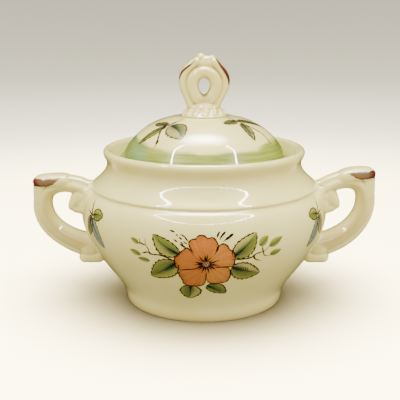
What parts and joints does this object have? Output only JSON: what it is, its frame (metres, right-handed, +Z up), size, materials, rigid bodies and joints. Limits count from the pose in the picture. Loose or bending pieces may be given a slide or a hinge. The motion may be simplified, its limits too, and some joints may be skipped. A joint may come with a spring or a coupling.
{
  "type": "covered crock",
  "caption": "Cream-glazed earthenware crock with scroll handles, a round belly on a foot ring, and an inset domed lid with a pierced loop finial.",
  "frame": {"origin": "centre of the foot's resting circle, at the bottom of the crock", "axes": "+Z up, +X towards the right handle as seen from the front, +Y towards the back"},
  "size_m": [0.1804, 0.1278, 0.129],
  "materials": {
    "cream_glaze": "gloss",
    "lid_glaze": "gloss"
  },
  "bodies": {
    "crock": {"crock_body": "cream_glaze", "left_handle": "cream_glaze", "right_handle": "cream_glaze"},
    "lid_assembly": {"lid": "lid_glaze", "lid_finial": "lid_glaze"}
  },
  "joints": [
    {"name": "lid_lift", "type": "slide", "parent": "crock", "child": "lid_assembly", "axis": [0, 0, 1], "range_m": [0, 0.08]}
  ]
}
